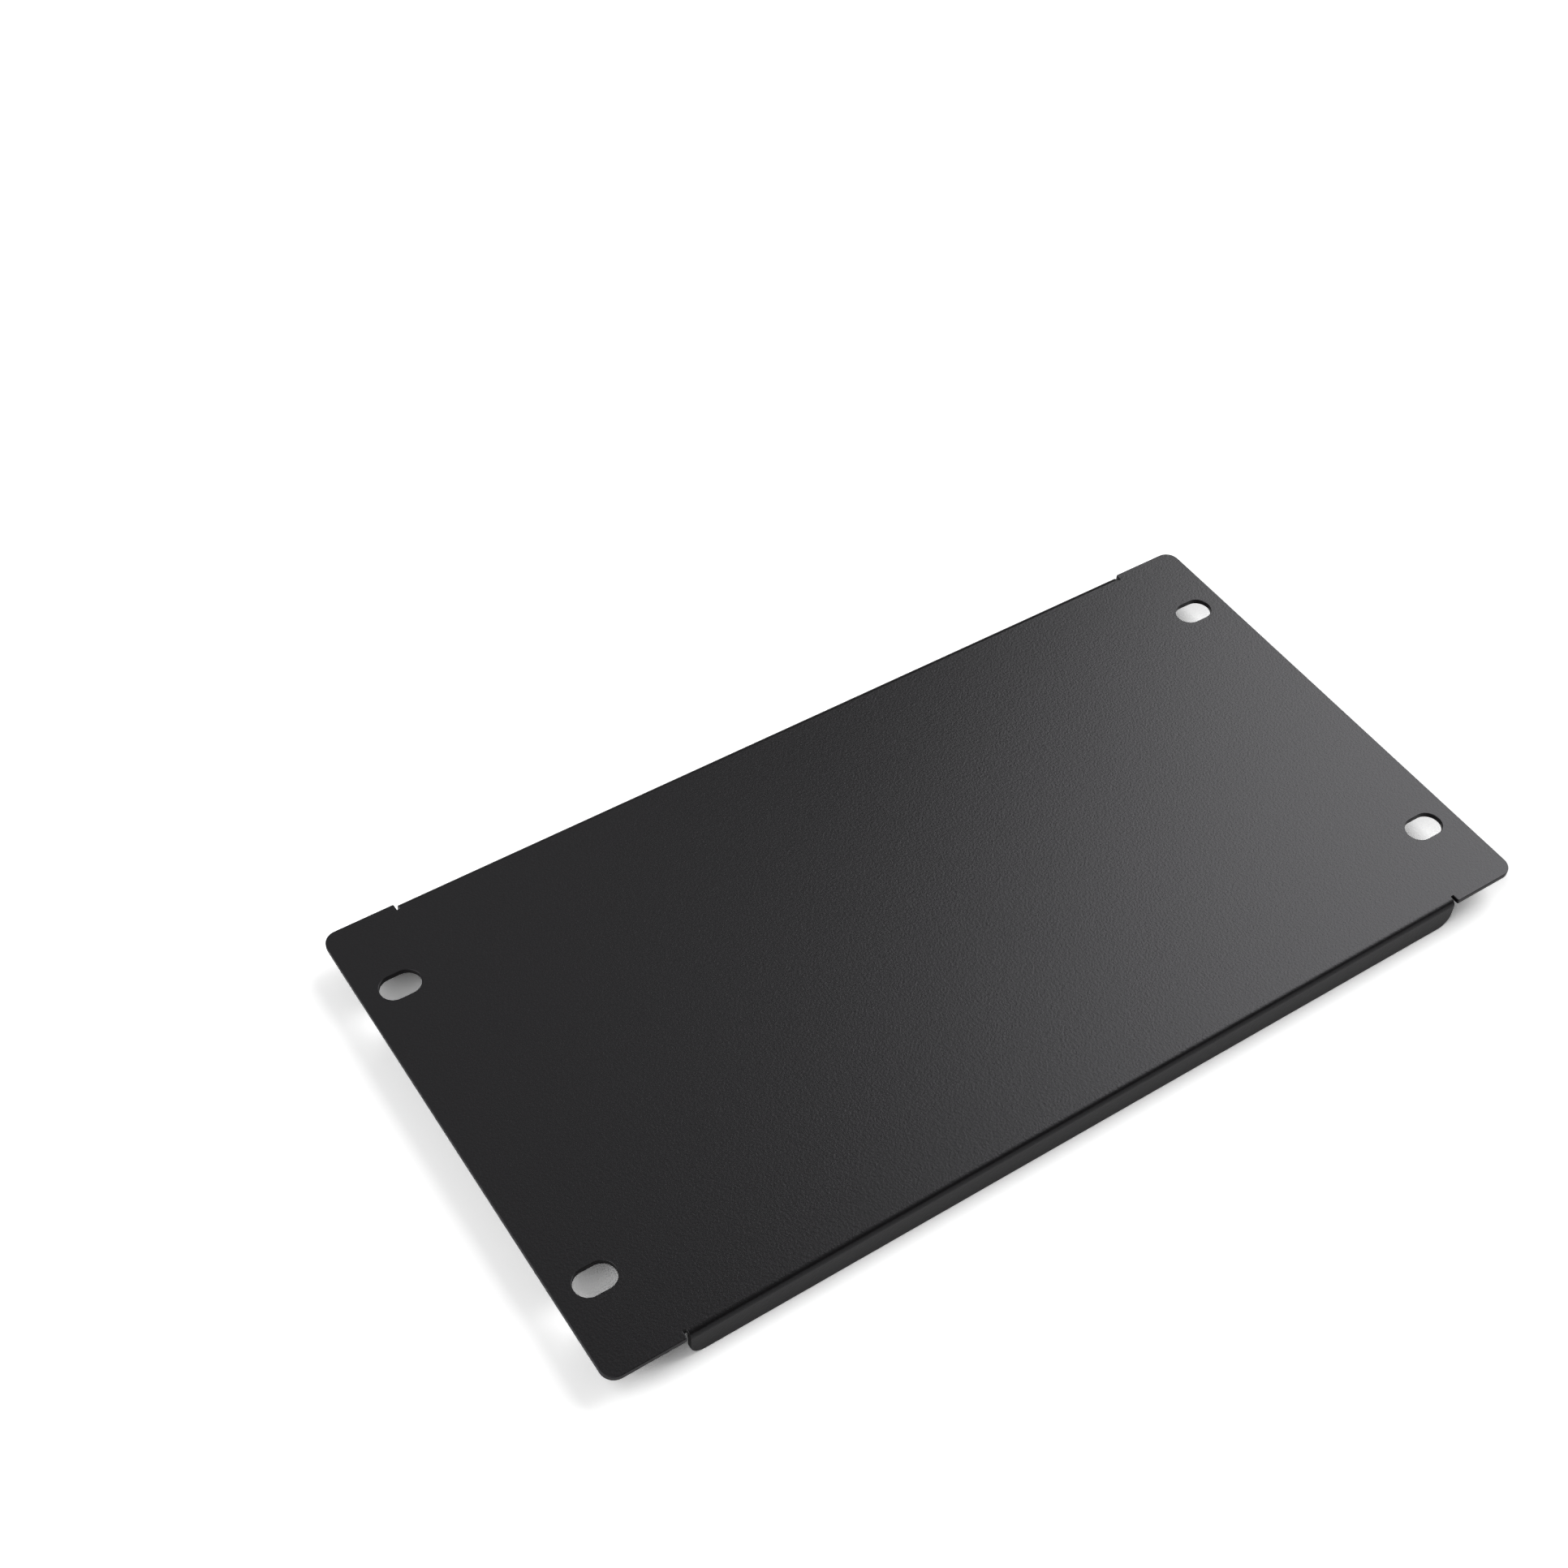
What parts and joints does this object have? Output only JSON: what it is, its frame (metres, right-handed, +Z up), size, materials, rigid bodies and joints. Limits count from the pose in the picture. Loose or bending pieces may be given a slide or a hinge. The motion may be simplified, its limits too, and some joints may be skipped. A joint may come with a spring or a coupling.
{
  "type": "rack blanking panel",
  "caption": "Flat folded steel panel with short side flanges, relief notches and slotted mounting ears, screwed over an empty space in a small equipment rack.",
  "frame": {"origin": "centre of the footprint, on the surface that the two flanges stand on", "axes": "+X along the panel's length, +Y across it from flange to flange, +Z up out of its face"},
  "size_m": [0.254, 0.1324, 0.0085],
  "materials": {
    "black_powder_coat": "satin-matte black powder coat with a very fine grain"
  },
  "bodies": {
    "root": {"blanking_panel": "black_powder_coat"}
  },
  "joints": []
}
